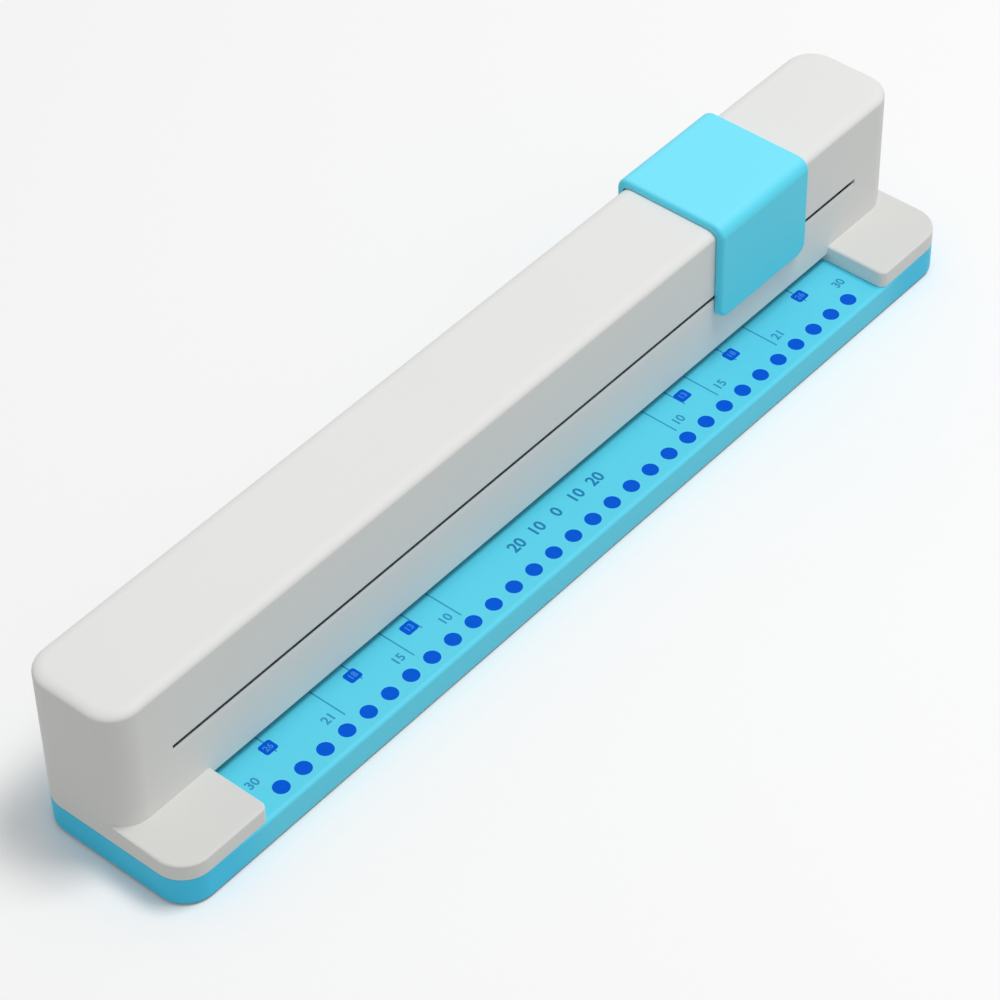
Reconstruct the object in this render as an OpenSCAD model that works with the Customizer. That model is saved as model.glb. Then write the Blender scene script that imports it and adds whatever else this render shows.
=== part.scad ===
// Thirty-hole paper punch with a sliding press roller.
// Millimetres, +Z up. The origin is on the table, under the middle of the punch.
// X runs along the beam, the paper goes in from -Y.

/* [Body] */
// Overall length of base and casing
body_l = 368; // [350:1:400]
// Depth of the base, front edge to back
body_d = 60.4; // [58:0.1:70]
// Height of the base tray
base_h = 10.3; // [9.5:0.1:14]
// Radius of the upright corners
corner_r = 10.5; // [8:0.5:13]
// Depth of the beam, front to back
beam_d = 37.5; // [36.5:0.1:40]
// Height of the beam above the ledge
beam_h = 52.5; // [48:0.1:62]
// Rounding of the beam's top edge
edge_r = 2.4; // [1.5:0.1:4.5]
// Height of the two ears above the ledge
ear_h = 6.4; // [5:0.1:9]
// Rounding of the ears' inner front corners
ear_r = 2.5; // [1:0.1:4]
// Wall of the casing
wall = 2.2; // [1.8:0.1:2.6]
// Wall of the base's skirt
skirt_t = 2.5; // [2:0.1:3]
// Thickness of the base's deck
deck_t = 3; // [2.6:0.1:3.4]

/* [Paper] */
// Width between the ears, for the longest sheet
paper_w = 298; // [290:1:305]
// Height of the throat that the paper goes into
throat_h = 3.2; // [2:0.1:4]
// Distance from the paper's edge to the middle of the holes
hole_inset = 6.2; // [5:0.1:7.5]

/* [Punching] */
// Number of holes
hole_count = 30; // [20:2:30]
// Distance from hole to hole
hole_pitch = 9.5; // [8.8:0.1:9.5]
// Diameter of a hole
hole_d = 5.5; // [4.5:0.1:6]
// Travel of a pin
stroke = 6; // [4.5:0.1:7]
// Width of a pin's collar beyond its shank
collar_w = 1.05; // [0.9:0.05:1.3]
// Thickness of a pin's collar
collar_t = 1.5; // [1:0.1:2]
// Thickness of the die plate
die_t = 1.6; // [1.2:0.1:2]
// Width of the die plate
die_w = 24; // [22:0.5:26]
// Wire of a return spring
spring_wire = 0.7; // [0.5:0.05:0.8]
// Turns of a return spring
spring_turns = 4.5; // [3:0.5:5]

/* [Channel] */
// Inner width of the channel
channel_w = 18; // [16:0.5:19]
// Thickness of the channel's sheet
channel_t = 1.5; // [1.2:0.1:1.8]
// Thickness of the guide bar
guide_t = 4; // [3:0.1:5]
// Diameter of a guide bar dowel
dowel_d = 3; // [2:0.1:3.4]

/* [Slider] */
// Length of the handle along the beam
handle_l = 45.5; // [40:0.5:60]
// How far the handle stands off the beam
handle_proud = 2.8; // [1.8:0.1:3.4]
// How far the handle's flanks reach down from the top of the beam
handle_drop = 35.4; // [28:0.1:42]
// Rounding of the handle's lower corners
handle_corner_r = 4.5; // [2:0.1:8]
// Distance from the far end of the beam to the middle of the slider
handle_from_end = 74.5; // [40:0.5:328]
// Height of the slots above the ledge
slot_rise = 26.1; // [24.5:0.1:30]
// Height of a slot
slot_h = 1.8; // [1.4:0.1:2]
// Length of the tongues that pass through the slots
tongue_l = 24; // [16:0.5:28]
// Length of the carriage
carriage_l = 40; // [36:0.5:46]
// Width of the press roller
roller_w = 7; // [5:0.1:9]
// Diameter of the roller's axle
axle_d = 4; // [3:0.1:5]

/* [Chip door] */
// Thickness of the door
door_t = 1.8; // [1.4:0.1:2.2]
// Diameter of a hinge pin
hinge_pin_d = 1.6; // [1.2:0.1:1.8]
// Wall of the hinge barrel round its pin
barrel_t = 0.8; // [0.6:0.05:1]

/* [Feet and screws] */
// Diameter of a foot
foot_d = 12; // [9:0.5:13]
// How far a foot stands below the skirt
foot_proud = 0.8; // [0.5:0.1:1.5]
// Depth of a foot's seat
foot_seat = 1.5; // [1:0.1:2]
// Diameter of the screws
screw_d = 2.9; // [2.5:0.1:3.2]
// Diameter of the screw heads
screw_head_d = 5.4; // [4.8:0.1:5.8]
// Height of the screw heads
screw_head_h = 1.8; // [1.4:0.1:2.2]

/* [Hidden] */
$fn = 48;
// Clearance between pieces that slide past each other
slip = 0.3;
// Clearance round a pin or shaft that turns or slides
run = 0.05;
// Clearance round a pin, screw or plate that stays put
snug = 0.04;
// Overlap of cutting bodies past the face they cut
past = 1;

// Heights
z_skirt = foot_proud;
z_ledge = z_skirt + base_h;
z_deck = z_ledge - deck_t;
z_die = z_ledge - die_t;
z_ear = z_ledge + ear_h;
z_top = z_ledge + beam_h;
z_roof = z_top - wall;
z_web = z_ledge + throat_h;
z_web_top = z_web + channel_t;
z_slot = z_ledge + slot_rise;
tongue_t = slot_h - 2 * slip;

// Depths, with the punch row in the middle of the beam
y_front = -(body_d + handle_proud) / 2;
y_back = y_front + body_d;
y_beam = y_back - beam_d;
y_row = (y_beam + y_back) / 2;
beam_half = beam_d / 2;
cavity_half = beam_half - wall;

// Places along the beam
x_end = body_l / 2;
x_paper = paper_w / 2;
screw_boss_r = screw_d / 2 + 2.1;
screw_seat_r = screw_head_d / 2 + 0.5;
screw_wall = 1.2;
x_screw = x_end - skirt_t - screw_seat_r - screw_wall - 0.4;
x_channel = x_screw - screw_boss_r - 0.9;
x_channel_screw = (x_paper + x_channel) / 2;
x_chamber = x_paper + 3;
chamber_rib = 2;
x_foot = x_chamber + chamber_rib + foot_d / 2 + 4;
row_l = (hole_count - 1) * hole_pitch;

// Channel, guide bar and pins, stacked down from the slots
rail_drop = 2.6;
z_rail = z_slot - rail_drop;
channel_half = channel_w / 2;
channel_out = channel_half + channel_t;
guide_drop = 2.2;
z_guide_top = z_rail - guide_drop;
z_guide = z_guide_top - guide_t;
guide_l = row_l + 2 * hole_pitch + 4;
pin_r = hole_d / 2;
tip_rise = 0.3;
head_rise = 1.2;
dome_h = 1;
tip_hollow = 0.6;
tip_flat_r = 0.4;
collar_r = pin_r + collar_w;
z_tip = z_web + tip_rise;
z_collar_top = z_guide - 0.2;
z_collar = z_collar_top - collar_t;
z_pin_top = z_guide_top + stroke + head_rise;
// The chords of a coil pass clear of the pin
spring_steps = 8;
spring_r = (pin_r + run) / cos(180 / spring_steps) + spring_wire / 2;
dowel_count = 5;
dowel_in = 5.5;

// Carriage, outside in
carriage_half = cavity_half - 0.6;
arm_t = 1.6;
arm_in = carriage_half - arm_t;
flange_half = arm_in - slip;
hook_in = channel_out + 0.7;
hook_t = 2.2;
hook_top = z_rail - channel_t - slip;
pad_in = channel_half - 1.8;
roof_gap = 1.2;
carriage_top = z_roof - roof_gap;
z_ceiling = z_pin_top + 0.8;
roller_top = carriage_top - 0.2;
roller_r = (roller_top - z_pin_top - slip) / 2;
z_roller = z_pin_top + slip + roller_r;
roller_gap = 0.5;
pocket_half_l = roller_r + 1;
pocket_half_w = roller_w / 2 + roller_gap;
ramp_rise = 2.5;
clip_t = 0.8;
clip_r = axle_d / 2 + 1.7;
groove_depth = 0.4;
clip_seat = carriage_half - 3.6;
axle_half = clip_seat + clip_t + 0.8;
tongue_in = carriage_half - 1.2;

// Slots reach as far as the carriage can run on the rails
x_slot = x_channel - (carriage_l - tongue_l) / 2 - 2;

// Handle
handle_x = x_end - handle_from_end;
handle_half = beam_half + handle_proud;
handle_in = beam_half + slip;
z_handle_top = z_top + handle_proud;
z_handle_in = z_top + slip;
z_handle = z_top - handle_drop;
handle_edge_r = edge_r + 2.2;

// Chip door
door_gap = 0.4;
barrel_r = hinge_pin_d / 2 + barrel_t;
y_hinge = y_back - skirt_t - barrel_r - 0.8;
z_hinge = z_skirt + slip + barrel_r;
z_door = z_skirt + 0.4;
hinge_pin_in = 4.5;
grip_l = 24;
grip_w = 5;
grip_depth = 0.8;

// Screws and feet
seat_t = 5.6;
z_seat = z_ledge - seat_t;
end_grip = 10;
ear_grip = ear_h - 1.8;
end_boss_h = end_grip + 3;
row_screw_dy = 5.5;
end_screw_dy = beam_half - corner_r - 0.2;
y_ear_screw = y_front + corner_r + 0.7;
channel_screw_tip = z_skirt + 2.8;
foot_boss_r = foot_d / 2 + 1.5;
foot_inset = foot_boss_r + 1.7;

function pin_x(i) = (i - (hole_count - 1) / 2) * hole_pitch;
function pin_name(i) = str("punch_pin_", i < 9 ? "0" : "", i + 1);

// Colours
white = "#E6E6E3";
cyan = "#5CCFE9";
steel = "#B9BDC2";
dark_steel = "#7C8288";
natural = "#EFEBDD";
black = "#2A2A2C";

// Flat rectangle with round corners, centred
module round_rect(l, d, r) {
    square([l - 2 * r, d], center = true);
    square([l, d - 2 * r], center = true);
    for (sx = [-1, 1], sy = [-1, 1])
        translate([sx * (l / 2 - r), sy * (d / 2 - r)])
            circle(r);
}

// Round rectangle given by its corners
module round_area(x0, y0, x1, y1, r) {
    translate([(x0 + x1) / 2, (y0 + y1) / 2])
        round_rect(x1 - x0, y1 - y0, r);
}

// Box given by two corners
module box(low, high) {
    translate(low)
        cube(high - low);
}

// Upright outline with its two top corners rounded, standing on the X axis
module arch(w, h, r) {
    translate([-w / 2, 0])
        square([w, h - r]);
    translate([-w / 2 + r, 0])
        square([w - 2 * r, h]);
    for (s = [-1, 1])
        translate([s * (w / 2 - r), h - r])
            circle(r);
}

// Half of an arch, from the Y axis out, for the round corners of a block
module half_arch(w, h, r) {
    square([w, h - r]);
    square([w - r, h]);
    translate([w - r, h - r])
        circle(r);
}

// Shape drawn in Y and Z, drawn out along X about the middle
module along_x(l) {
    rotate([90, 0, 90])
        linear_extrude(l, center = true)
            children();
}

// Shape drawn in X and Z, drawn out along Y about the middle
module along_y(l) {
    rotate([90, 0, 0])
        linear_extrude(l, center = true)
            children();
}

// Block with round upright corners and a rounded top edge
module soft_block(l, d, h, r_plan, r_top) {
    along_x(l - 2 * r_plan)
        arch(d, h, r_top);
    along_y(d - 2 * r_plan)
        arch(l, h, r_top);
    for (quarter = [0 : 3]) {
        sx = quarter == 0 || quarter == 3 ? 1 : -1;
        sy = quarter < 2 ? 1 : -1;
        translate([sx * (l / 2 - r_plan), sy * (d / 2 - r_plan), 0])
            rotate(90 * quarter)
                rotate_extrude(angle = 90)
                    half_arch(r_plan, h, r_top);
    }
}

// Outline of the body, drawn in by a margin
module body_outline(margin = 0) {
    round_area(-x_end + margin, y_front + margin, x_end - margin, y_back - margin, corner_r - margin);
}

// Children once on each end of the punch
module both_ends() {
    for (s = [0, 1])
        mirror([s, 0, 0])
            children();
}

// Children at each screw that holds the casing's beam
module at_end_screws() {
    for (sx = [-1, 1], sy = [-1, 1])
        translate([sx * x_screw, y_row + sy * end_screw_dy, 0])
            children();
}

// Children at each screw that holds an ear
module at_ear_screws() {
    for (sx = [-1, 1])
        translate([sx * x_screw, y_ear_screw, 0])
            children();
}

// Children at each screw that holds the channel
module at_channel_screws() {
    for (sx = [-1, 1], sy = [-1, 1])
        translate([sx * x_channel_screw, y_row + sy * row_screw_dy, 0])
            children();
}

// Children at each foot
module at_feet() {
    for (sx = [-1, 1], y = [y_front + foot_inset, y_back - foot_inset])
        translate([sx * x_foot, y, 0])
            children();
}

// Children at each pin
module at_pins() {
    for (i = [0 : hole_count - 1])
        translate([pin_x(i), y_row, 0])
            children();
}

// Upright cylinder between two heights
module post(r, z0, z1) {
    translate([0, 0, z0])
        cylinder(r = r, h = z1 - z0);
}

// Cylinder along Y about the punch row, between two distances from it
module cross_post(r, y0, y1) {
    rotate([-90, 0, 0])
        post(r, y0, y1);
}

module ear() {
    translate([0, 0, z_ledge])
        linear_extrude(ear_h)
            intersection() {
                body_outline();
                round_area(x_paper, y_front, x_end + corner_r, y_back, ear_r);
            }
}

module ear_pocket() {
    translate([0, 0, z_ledge - past])
        linear_extrude(ear_h - wall + past)
            intersection() {
                body_outline(wall);
                translate([x_paper + wall, y_front])
                    square([x_end - x_paper, y_beam - y_front]);
            }
}

module casing_shell() {
    difference() {
        union() {
            translate([0, y_row, z_ledge])
                soft_block(body_l, beam_d, beam_h, corner_r, edge_r);
            both_ends()
                ear();
        }
        translate([0, y_row, z_ledge - past])
            linear_extrude(beam_h - wall + past)
                round_rect(body_l - 2 * wall, beam_d - 2 * wall, corner_r - wall);
        both_ends()
            ear_pocket();
        box([-x_paper, y_beam - past, z_ledge - past], [x_paper, y_beam + wall + past, z_web]);
        box([-x_slot, y_beam - past, z_slot - slot_h / 2], [x_slot, y_back + past, z_slot + slot_h / 2]);
    }
}

module casing() {
    color(white)
        difference() {
            union() {
                casing_shell();
                at_end_screws()
                    post(screw_boss_r, z_ledge, z_ledge + end_boss_h);
                both_ends()
                    for (s = [-1, 1])
                        box([x_screw, y_row + s * end_screw_dy - screw_wall, z_ledge],
                            [x_end - wall / 2, y_row + s * end_screw_dy + screw_wall, z_ledge + end_boss_h]);
                at_ear_screws()
                    post(screw_boss_r, z_ledge, z_ear - wall / 2);
            }
            at_end_screws()
                post(screw_d / 2 + snug, z_ledge - past, z_ledge + end_grip + 1);
            at_ear_screws()
                post(screw_d / 2 + snug, z_ledge - past, z_ledge + ear_grip + 0.4);
        }
}

module base_hollows() {
    box([-x_chamber, y_front + skirt_t, z_skirt - past], [x_chamber, y_back - skirt_t, z_deck]);
    both_ends()
        translate([0, 0, z_skirt - past])
            linear_extrude(z_deck - z_skirt + past)
                intersection() {
                    body_outline(skirt_t);
                    translate([x_chamber + chamber_rib, y_front])
                        square([x_end, body_d]);
                }
}

module base() {
    die_l = 2 * x_channel;
    chip_l = row_l + hole_d + 4;
    chip_w = die_w - 11;
    color(cyan)
        difference() {
            union() {
                difference() {
                    translate([0, 0, z_skirt])
                        linear_extrude(base_h)
                            body_outline();
                    base_hollows();
                }
                at_feet()
                    post(foot_boss_r, z_skirt, z_deck + past);
                at_end_screws()
                    post(screw_seat_r + screw_wall, z_skirt, z_deck + past);
                at_ear_screws()
                    post(screw_seat_r + screw_wall, z_skirt, z_deck + past);
                at_channel_screws()
                    post(screw_boss_r, channel_screw_tip - 1.4, z_deck + past);
            }
            translate([0, y_row, z_die])
                linear_extrude(die_t + past)
                    square([die_l + 2 * snug, die_w + 2 * snug], center = true);
            translate([0, y_row, z_deck - past])
                linear_extrude(deck_t)
                    square([chip_l, chip_w], center = true);
            at_feet()
                post(foot_d / 2 + snug, z_skirt - past, z_skirt + foot_seat);
            at_end_screws()
                screw_hole();
            at_ear_screws()
                screw_hole();
            at_channel_screws()
                post(screw_d / 2 + snug, channel_screw_tip - 0.4, z_ledge);
            both_ends()
                translate([x_chamber - past, y_hinge, z_hinge])
                    rotate([0, 90, 0])
                        cylinder(d = hinge_pin_d + 2 * snug, h = chamber_rib + 2 * past);
        }
}

// Clearance hole and head seat of a screw that comes up from below
module screw_hole() {
    post(screw_d / 2 + 0.15, z_seat - past, z_ledge + past);
    post(screw_seat_r, z_skirt - past, z_seat);
}

module die_plate() {
    color(steel)
        difference() {
            translate([0, y_row, z_die])
                linear_extrude(die_t)
                    square([2 * x_channel, die_w], center = true);
            at_pins()
                post(pin_r + run, z_die - past, z_ledge + past);
            at_channel_screws()
                post(screw_d / 2 + 0.15, z_die - past, z_ledge + past);
        }
}

module paper_stop() {
    color(dark_steel)
        difference() {
            translate([0, y_row, z_ledge])
                linear_extrude(throat_h)
                    difference() {
                        square([2 * x_channel, 2 * channel_out], center = true);
                        translate([-x_paper, -channel_out - past])
                            square([paper_w, channel_out + hole_inset + past]);
                    }
            at_channel_screws()
                post(screw_d / 2 + 0.15, z_ledge - past, z_web + past);
        }
}

// Hat-shaped section of the channel, about the punch row
module channel_section() {
    polygon([
        [-channel_out, z_web],
        [channel_out, z_web],
        [channel_out, z_rail - channel_t],
        [flange_half, z_rail - channel_t],
        [flange_half, z_rail],
        [channel_half, z_rail],
        [channel_half, z_web_top],
        [-channel_half, z_web_top],
        [-channel_half, z_rail],
        [-flange_half, z_rail],
        [-flange_half, z_rail - channel_t],
        [-channel_out, z_rail - channel_t]]);
}

// Children at each dowel of the guide bar, on the punch row and pointing out
module at_dowels() {
    gap = (guide_l - dowel_d * 4) / (dowel_count - 1);
    for (i = [0 : dowel_count - 1], s = [0, 1])
        translate([(i - (dowel_count - 1) / 2) * gap, y_row, (z_guide + z_guide_top) / 2])
            mirror([0, s, 0])
                children();
}

module punch_channel() {
    color(steel)
        difference() {
            translate([0, y_row, 0])
                along_x(2 * x_channel)
                    channel_section();
            at_pins()
                post(pin_r + run, z_web - past, z_web_top + past);
            at_channel_screws()
                post(screw_d / 2 + 0.15, z_web - past, z_web_top + past);
            at_dowels()
                cross_post(dowel_d / 2 + snug, channel_half - past, channel_out + past);
        }
}

module pin_guide_bar() {
    color(natural)
        difference() {
            translate([0, y_row, z_guide])
                linear_extrude(guide_t)
                    square([guide_l, channel_w - 2 * snug], center = true);
            at_pins()
                post(pin_r + run, z_guide - past, z_guide_top + past);
            at_dowels()
                cross_post(dowel_d / 2 + snug, dowel_in - snug, channel_out);
        }
}

module guide_bar_dowels() {
    color(dark_steel)
        at_dowels()
            cross_post(dowel_d / 2, dowel_in, channel_out);
}

module punch_pin(i) {
    color(dark_steel)
        translate([pin_x(i), y_row, 0])
            rotate_extrude() {
                polygon([
                    [0, z_tip + tip_hollow],
                    [tip_flat_r, z_tip + tip_hollow],
                    [pin_r, z_tip],
                    [pin_r, z_collar],
                    [collar_r, z_collar],
                    [collar_r, z_collar_top],
                    [pin_r, z_collar_top],
                    [pin_r, z_pin_top - dome_h],
                    [pin_r - dome_h, z_pin_top],
                    [0, z_pin_top]]);
                translate([pin_r - dome_h, z_pin_top - dome_h])
                    intersection() {
                        circle(dome_h);
                        square(dome_h);
                    }
            }
}

// One open coil as a tube of rings, from the web up to the collar
spring_sides = 4;
spring_rings = round(spring_turns * spring_steps);
spring_low = z_web_top + spring_wire / 2 + snug;
spring_high = z_collar - spring_wire / 2 - snug;

function coil_point(ring, side) =
    let (turn = 360 * ring / spring_steps, slope = 360 * side / spring_sides,
         r = spring_r + spring_wire / 2 * cos(slope),
         z = spring_low + (spring_high - spring_low) * ring / spring_rings)
    [r * cos(turn), r * sin(turn), z + spring_wire / 2 * sin(slope)];

module coil_spring() {
    points = [for (ring = [0 : spring_rings], side = [0 : spring_sides - 1]) coil_point(ring, side)];
    sides = [for (ring = [0 : spring_rings - 1], side = [0 : spring_sides - 1])
        let (a = ring * spring_sides + side,
             b = ring * spring_sides + (side + 1) % spring_sides)
        each [[a, b + spring_sides, b], [a, a + spring_sides, b + spring_sides]]];
    first = [for (side = [1 : spring_sides - 2]) [0, side, side + 1]];
    start = spring_rings * spring_sides;
    last = [for (side = [1 : spring_sides - 2]) [start, start + side + 1, start + side]];
    polyhedron(points, concat(sides, first, last));
}

module return_springs() {
    color(steel)
        at_pins()
            coil_spring();
}

module channel_screws() {
    color(dark_steel)
        at_channel_screws() {
            post(screw_d / 2, channel_screw_tip, z_web_top + screw_head_h / 2);
            post(screw_head_d / 2, z_web_top, z_web_top + screw_head_h);
        }
}

// Screw that comes up from below, with its head in the base
module upward_screw(grip) {
    post(screw_head_d / 2, z_seat - screw_head_h, z_seat);
    post(screw_d / 2, z_seat - screw_head_h / 2, z_ledge + grip);
}

module casing_screws() {
    color(dark_steel) {
        at_end_screws()
            upward_screw(end_grip);
        at_ear_screws()
            upward_screw(ear_grip);
    }
}

module slider_handle() {
    tongue_reach = handle_half - tongue_in - (handle_proud - slip) / 2;
    color(cyan)
        translate([handle_x, y_row, 0]) {
            intersection() {
                difference() {
                    translate([0, 0, z_handle])
                        along_x(handle_l)
                            arch(2 * handle_half, z_handle_top - z_handle, handle_edge_r);
                    translate([0, 0, z_handle - past])
                        along_x(handle_l + 2 * past)
                            arch(2 * handle_in, z_handle_in - z_handle + past, edge_r);
                }
                along_y(3 * handle_half)
                    round_area(-handle_l / 2, z_handle, handle_l / 2,
                        z_handle_top + 2 * handle_corner_r, handle_corner_r);
            }
            for (s = [-1, 1])
                translate([0, s * (tongue_in + tongue_reach / 2), z_slot])
                    cube([tongue_l, tongue_reach, tongue_t], center = true);
        }
}

// Half section of the carriage, hooked round a rail, from the top down
carriage_points = [
    [carriage_half, carriage_top],
    [carriage_half, hook_top - hook_t],
    [hook_in, hook_top - hook_t],
    [hook_in, hook_top],
    [arm_in, hook_top],
    [arm_in, z_rail + slip],
    [pad_in, z_rail + slip],
    [pad_in, z_ceiling]];

// Whole section of the carriage, down one side and up the other
module carriage_section() {
    last = len(carriage_points) - 1;
    polygon(concat(
        carriage_points,
        [for (i = [last : -1 : 0]) [-carriage_points[i].x, carriage_points[i].y]]));
}

module carriage() {
    half = carriage_l / 2;
    color(natural)
        translate([handle_x, y_row, 0])
            difference() {
                along_x(carriage_l)
                    carriage_section();
                // Pocket of the roller
                box([-pocket_half_l, -pocket_half_w, z_rail], [pocket_half_l, pocket_half_w, carriage_top + past]);
                // Lead-in ramps over the pins
                along_y(2 * pad_in)
                    for (s = [0, 1])
                        mirror([s, 0])
                            polygon([
                                [pocket_half_l, z_ceiling - past],
                                [pocket_half_l, z_ceiling],
                                [half + past, z_ceiling + ramp_rise],
                                [half + past, z_ceiling - past]]);
                // Axle bore and the seats of its clips
                translate([0, 0, z_roller]) {
                    cross_post(axle_d / 2 + snug, -clip_seat - past, clip_seat + past);
                    for (s = [0, 1])
                        mirror([0, s, 0])
                            cross_post(clip_r + 0.4, clip_seat, carriage_half + past);
                }
                // Grooves that take the handle's tongues
                for (s = [0, 1])
                    mirror([0, s, 0])
                        box([-tongue_l / 2 - snug, tongue_in - snug, z_slot - tongue_t / 2 - snug],
                            [tongue_l / 2 + snug, carriage_half + past, z_slot + tongue_t / 2 + snug]);
            }
}

// Outline of the axle, half its length, with a groove for a clip
module axle_half_section() {
    r = axle_d / 2;
    polygon([
        [0, -snug],
        [r, -snug],
        [r, clip_seat],
        [r - groove_depth, clip_seat],
        [r - groove_depth, clip_seat + clip_t + 2 * snug],
        [r, clip_seat + clip_t + 2 * snug],
        [r, axle_half],
        [0, axle_half]]);
}

module roller_axle() {
    color(steel)
        translate([handle_x, y_row, z_roller])
            for (s = [0, 1])
                mirror([0, s, 0])
                    rotate([-90, 0, 0])
                        rotate_extrude()
                            axle_half_section();
}

module axle_clips() {
    color(black)
        translate([handle_x, y_row, z_roller])
            for (s = [0, 1])
                mirror([0, s, 0])
                    difference() {
                        cross_post(clip_r, clip_seat + snug, clip_seat + snug + clip_t);
                        cross_post(axle_d / 2 - groove_depth + snug, clip_seat - past, axle_half + past);
                    }
}

module press_roller() {
    round_r = 0.8;
    half = roller_w / 2;
    color(steel)
        translate([handle_x, y_row, z_roller])
            rotate([90, 0, 0])
                rotate_extrude()
                    difference() {
                        translate([0, -half])
                            square([roller_r, roller_w]);
                        translate([0, -half - past])
                            square([axle_d / 2 + run, roller_w + 2 * past]);
                        for (s = [0, 1])
                            mirror([0, s])
                                polygon([
                                    [roller_r - round_r, half],
                                    [roller_r + past, half + past],
                                    [roller_r + past, half - round_r - past]]);
                    }
}

module chip_door() {
    door_half = x_chamber - door_gap;
    y_door = y_front + skirt_t + door_gap;
    color(cyan)
        difference() {
            union() {
                box([-door_half, y_door, z_door], [door_half, y_hinge, z_door + door_t]);
                translate([0, y_hinge, z_hinge])
                    rotate([0, 90, 0])
                        cylinder(r = barrel_r, h = 2 * door_half, center = true);
            }
            // Finger grip along the free edge
            box([-grip_l / 2, y_door - past, z_door - past], [grip_l / 2, y_door + grip_w, z_door + grip_depth]);
            both_ends()
                translate([door_half - hinge_pin_in, y_hinge, z_hinge])
                    rotate([0, 90, 0])
                        cylinder(d = hinge_pin_d + 2 * run, h = hinge_pin_in + past);
        }
}

module door_hinge_pins() {
    pin_start = x_chamber - door_gap - hinge_pin_in + 0.2;
    color(steel)
        both_ends()
            translate([pin_start, y_hinge, z_hinge])
                rotate([0, 90, 0])
                    cylinder(d = hinge_pin_d, h = x_chamber + chamber_rib - pin_start);
}

module rubber_feet() {
    color(black)
        at_feet()
            post(foot_d / 2, 0, z_skirt + foot_seat);
}

casing();
base();
die_plate();
paper_stop();
punch_channel();
pin_guide_bar();
guide_bar_dowels();
return_springs();
channel_screws();
casing_screws();
slider_handle();
carriage();
roller_axle();
axle_clips();
press_roller();
chip_door();
door_hinge_pins();
rubber_feet();
for (i = [0 : hole_count - 1])
    punch_pin(i);
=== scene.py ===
"""Looks of a thirty-hole paper punch: a white beam on a cyan base, with a cyan slider along the beam."""
import math

import bmesh
import bpy
from mathutils import Matrix, Vector


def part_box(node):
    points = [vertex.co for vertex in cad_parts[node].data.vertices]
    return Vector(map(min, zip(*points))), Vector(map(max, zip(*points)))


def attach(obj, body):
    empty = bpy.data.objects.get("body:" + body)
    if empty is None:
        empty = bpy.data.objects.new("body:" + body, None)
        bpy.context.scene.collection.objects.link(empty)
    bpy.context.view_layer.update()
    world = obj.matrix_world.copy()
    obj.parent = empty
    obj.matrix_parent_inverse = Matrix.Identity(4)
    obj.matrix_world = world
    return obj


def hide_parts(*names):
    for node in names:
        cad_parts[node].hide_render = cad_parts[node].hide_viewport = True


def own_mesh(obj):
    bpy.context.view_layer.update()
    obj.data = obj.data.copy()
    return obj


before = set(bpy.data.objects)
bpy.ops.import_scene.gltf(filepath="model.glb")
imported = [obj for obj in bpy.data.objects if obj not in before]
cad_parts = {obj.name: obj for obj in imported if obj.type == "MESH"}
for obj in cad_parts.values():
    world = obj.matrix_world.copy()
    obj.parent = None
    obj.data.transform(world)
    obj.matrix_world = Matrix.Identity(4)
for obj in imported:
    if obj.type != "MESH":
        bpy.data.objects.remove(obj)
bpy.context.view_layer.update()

# Sizes in metres. What the frame holds is read from it.
MM = 0.001
PAST = 1 * MM  # how far a cutter reaches past a face
SNUG = 0.04 * MM  # clearance of a seat that holds its piece
SAME_PLACE = 0.01 * MM
DOUBLE_GAP = 0.002 * MM
FLAT_DEGREES = 0.1
CASING_HIGH = Vector(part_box("casing")[1])
BASE_LOW, BASE_HIGH = (Vector(corner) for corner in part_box("base"))
HANDLE_LOW, HANDLE_HIGH = (Vector(corner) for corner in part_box("slider_handle"))
DIE_LOW, DIE_HIGH = (Vector(corner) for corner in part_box("die_plate"))
STOP_HIGH = Vector(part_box("paper_stop")[1])
CHANNEL_HIGH = Vector(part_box("punch_channel")[1])
DOOR_LOW, DOOR_HIGH = (Vector(corner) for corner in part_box("chip_door"))
FEET_LOW, FEET_HIGH = (Vector(corner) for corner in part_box("rubber_feet"))
SCREWS_LOW, SCREWS_HIGH = (Vector(corner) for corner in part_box("casing_screws"))
SPRINGS_LOW, SPRINGS_HIGH = (Vector(corner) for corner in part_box("return_springs"))
HINGE_LOW, HINGE_HIGH = (Vector(corner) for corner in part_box("door_hinge_pins"))
PINS = [name for name in sorted(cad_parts) if name.startswith("punch_pin_")]
PIN_X = [(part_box(name)[0][0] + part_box(name)[1][0]) / 2 for name in PINS]

# Heights and depths of the body
END_X = CASING_HIGH.x
FRONT_Y = BASE_LOW.y
BACK_Y = BASE_HIGH.y
LEDGE_Z = BASE_HIGH.z
THROAT_Z = STOP_HIGH.z
TOP_Z = CASING_HIGH.z
ROW_Y = (DIE_LOW.y + DIE_HIGH.y) / 2
BEAM_Y = 2 * ROW_Y - BACK_Y
WALL = 2.2 * MM
SKIRT = 2.5 * MM
DECK_Z = LEDGE_Z - 3 * MM
CORNER_R = 10.5 * MM
EDGE_DROP = 2.4 * MM  # the beam's top edge is rounded this far down
EDGE_REACH = 4 * MM  # and this far in
EAR_H = 6.4 * MM
EAR_TOP_Z = LEDGE_Z + EAR_H
EAR_R = 2.5 * MM
EAR_EDGE_R = 0.9 * MM
EAR_X = 149 * MM
LEDGE_X = EAR_X + 0.8 * MM
LEDGE_EDGE_R = 1.4 * MM
SEAM_R = 0.3 * MM
RIM_R = 0.5 * MM
THROAT_EDGE_R = 0.4 * MM
CORNER_STEPS = 14
INSIDE_STEPS = 10

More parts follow.
